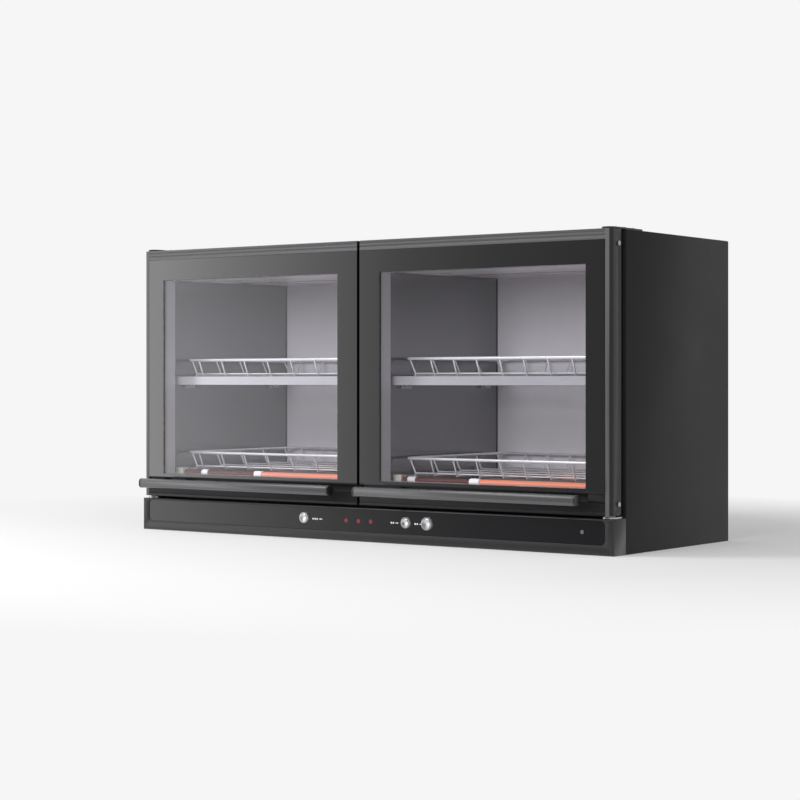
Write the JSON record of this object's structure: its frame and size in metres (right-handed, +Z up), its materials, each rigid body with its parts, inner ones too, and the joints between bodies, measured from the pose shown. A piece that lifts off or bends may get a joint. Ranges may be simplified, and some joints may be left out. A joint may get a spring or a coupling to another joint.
{
  "type": "dish sterilizer cabinet",
  "caption": "Low wide dish sterilizer cabinet: glass doors side by side with bar handles, wire baskets on shelves, heater tubes and a control panel below.",
  "frame": {"origin": "centre of the footprint on the face it stands on", "axes": "+X to the right as seen from the front, +Y to the back, +Z up; doors face -Y"},
  "size_m": [0.8, 0.352, 0.4135],
  "materials": {
    "black_coat": "satin powder coat",
    "galvanised": "dull zinc",
    "stainless": "bright rolled",
    "reflector": "bright",
    "anodised": "black anodised, satin",
    "handle_black": "black anodised, satin",
    "cap_plastic": "satin",
    "bush_plastic": "plain",
    "door_glass": "clear, with a black border",
    "seal_rubber": "matt",
    "zinc": "zinc plated",
    "chrome_trim": "polished",
    "chrome_wire": "polished",
    "hot_quartz": "glowing salmon",
    "ceramic": "matt white",
    "panel_plastic": "satin black",
    "fascia_gloss": "gloss black",
    "red_lens": "dim red",
    "circuit": "green board",
    "switch_black": "plain"
  },
  "bodies": {
    "cabinet": {"outer_shell": "black_coat", "back_panel": "galvanised", "base_pan": "black_coat", "front_frame": "black_coat", "left_chamber": "stainless", "right_chamber": "stainless", "left_shelf": "stainless", "right_shelf": "stainless", "rack_rails": "stainless", "shelf_pegs": "stainless", "left_heater_tubes": "hot_quartz", "right_heater_tubes": "hot_quartz", "heater_caps": "ceramic", "heater_reflectors": "reflector", "control_panel": "panel_plastic", "control_fascia": "fascia_gloss", "button_bezels": "chrome_trim", "indicator_lenses": "red_lens", "control_board": "circuit", "push_switches": "switch_black", "power_module": "switch_black", "thermal_cutouts": "ceramic", "door_sensors": "switch_black", "hinge_plates": "zinc", "hinge_pins": "zinc", "cabinet_screws": "zinc", "wall_hangers": "galvanised", "cable_grommet": "seal_rubber"},
    "left_door": {"left_hinge_stile": "anodised", "left_meeting_stile": "anodised", "left_top_rail": "anodised", "left_bottom_rail": "anodised", "left_glass": "door_glass", "left_door_liner": "stainless", "left_gasket": "seal_rubber", "left_pivot_bushes": "bush_plastic", "left_stile_screws": "zinc", "left_handle_bar": "handle_black", "left_handle_caps": "cap_plastic", "left_handle_posts": "handle_black"},
    "right_door": {"right_hinge_stile": "anodised", "right_meeting_stile": "anodised", "right_top_rail": "anodised", "right_bottom_rail": "anodised", "right_glass": "door_glass", "right_door_liner": "stainless", "right_gasket": "seal_rubber", "right_pivot_bushes": "bush_plastic", "right_stile_screws": "zinc", "right_handle_bar": "handle_black", "right_handle_caps": "cap_plastic", "right_handle_posts": "handle_black"},
    "left_button": {"left_button": "chrome_trim"},
    "middle_button": {"middle_button": "chrome_trim"},
    "right_button": {"right_button": "chrome_trim"},
    "left_upper_rack": {"left_upper_rack": "chrome_wire"},
    "left_lower_rack": {"left_lower_rack": "chrome_wire"},
    "right_upper_rack": {"right_upper_rack": "chrome_wire"},
    "right_lower_rack": {"right_lower_rack": "chrome_wire"}
  },
  "joints": [
    {"name": "right_door_hinge", "type": "hinge", "parent": "cabinet", "child": "right_door", "pos_m": [0.387, -0.121, 0.23], "axis": [0, 0, 1], "range_deg": [0, 110]},
    {"name": "left_door_hinge", "type": "hinge", "parent": "cabinet", "child": "left_door", "pos_m": [-0.387, -0.121, 0.23], "axis": [0, 0, -1], "range_deg": [0, 110]},
    {"name": "left_button_press", "type": "slide", "parent": "cabinet", "child": "left_button", "axis": [0, 1, 0], "range_m": [0, 0.002], "stiffness_N_per_m": 300},
    {"name": "middle_button_press", "type": "slide", "parent": "cabinet", "child": "middle_button", "axis": [0, 1, 0], "range_m": [0, 0.002], "stiffness_N_per_m": 300},
    {"name": "right_button_press", "type": "slide", "parent": "cabinet", "child": "right_button", "axis": [0, 1, 0], "range_m": [0, 0.002], "stiffness_N_per_m": 300},
    {"name": "left_upper_rack_slide", "type": "slide", "parent": "cabinet", "child": "left_upper_rack", "axis": [0, -1, 0], "range_m": [0, 0.034]},
    {"name": "left_lower_rack_slide", "type": "slide", "parent": "cabinet", "child": "left_lower_rack", "axis": [0, -1, 0], "range_m": [0, 0.034]},
    {"name": "right_upper_rack_slide", "type": "slide", "parent": "cabinet", "child": "right_upper_rack", "axis": [0, -1, 0], "range_m": [0, 0.034]},
    {"name": "right_lower_rack_slide", "type": "slide", "parent": "cabinet", "child": "right_lower_rack", "axis": [0, -1, 0], "range_m": [0, 0.034]}
  ]
}
